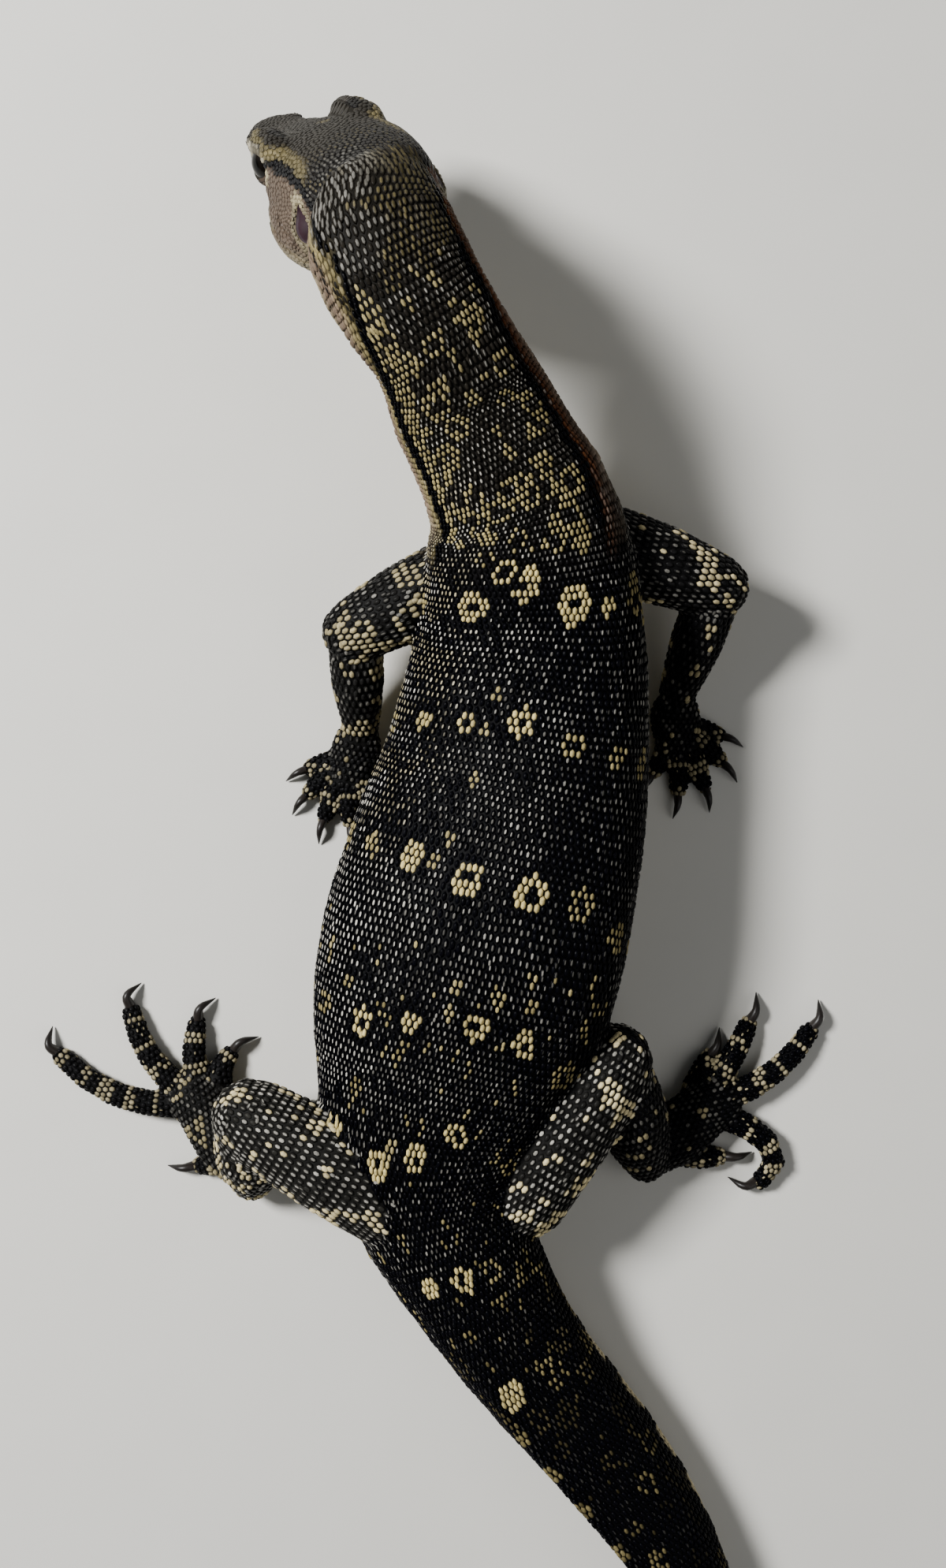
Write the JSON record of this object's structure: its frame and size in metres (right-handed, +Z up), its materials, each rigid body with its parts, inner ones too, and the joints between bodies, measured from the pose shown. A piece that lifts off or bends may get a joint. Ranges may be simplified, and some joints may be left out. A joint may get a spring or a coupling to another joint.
{
  "type": "water monitor lizard",
  "caption": "Still, life-size model of a young water monitor lizard resting on its belly, with raised neck, lowered head, planted limbs and long curved tail.",
  "frame": {"origin": "on the floor under the middle of the animal's bounding box", "axes": "+Y towards the head, +X towards the animal's right, +Z up from the floor"},
  "size_m": [0.1278, 0.3872, 0.0477],
  "materials": {
    "skin_body": "blue-black beaded scales with cream flecks and ringed spots, satin",
    "skin_head": "grey-brown head plates with paler cheeks, satin",
    "eye": "wet, glossy, almost black",
    "claw": "dark polished horn"
  },
  "bodies": {
    "root": {"head": "skin_head", "lower_jaw": "skin_head", "eye_left": "eye", "eye_right": "eye", "neck": "skin_body", "chest": "skin_body", "belly": "skin_body", "hips": "skin_body", "tail_1": "skin_body", "tail_2": "skin_body", "tail_3": "skin_body", "tail_4": "skin_body", "tail_5": "skin_body", "upper_arm_left": "skin_body", "forearm_left": "skin_body", "hand_left": "skin_body", "hand_left_claw_1": "claw", "hand_left_claw_2": "claw", "hand_left_claw_3": "claw", "hand_left_claw_4": "claw", "hand_left_claw_5": "claw", "thigh_left": "skin_body", "shin_left": "skin_body", "foot_left": "skin_body", "foot_left_claw_1": "claw", "foot_left_claw_2": "claw", "foot_left_claw_3": "claw", "foot_left_claw_4": "claw", "foot_left_claw_5": "claw", "upper_arm_right": "skin_body", "forearm_right": "skin_body", "hand_right": "skin_body", "hand_right_claw_1": "claw", "hand_right_claw_2": "claw", "hand_right_claw_3": "claw", "hand_right_claw_4": "claw", "hand_right_claw_5": "claw", "thigh_right": "skin_body", "shin_right": "skin_body", "foot_right": "skin_body", "foot_right_claw_1": "claw", "foot_right_claw_2": "claw", "foot_right_claw_3": "claw", "foot_right_claw_4": "claw", "foot_right_claw_5": "claw"}
  },
  "joints": []
}
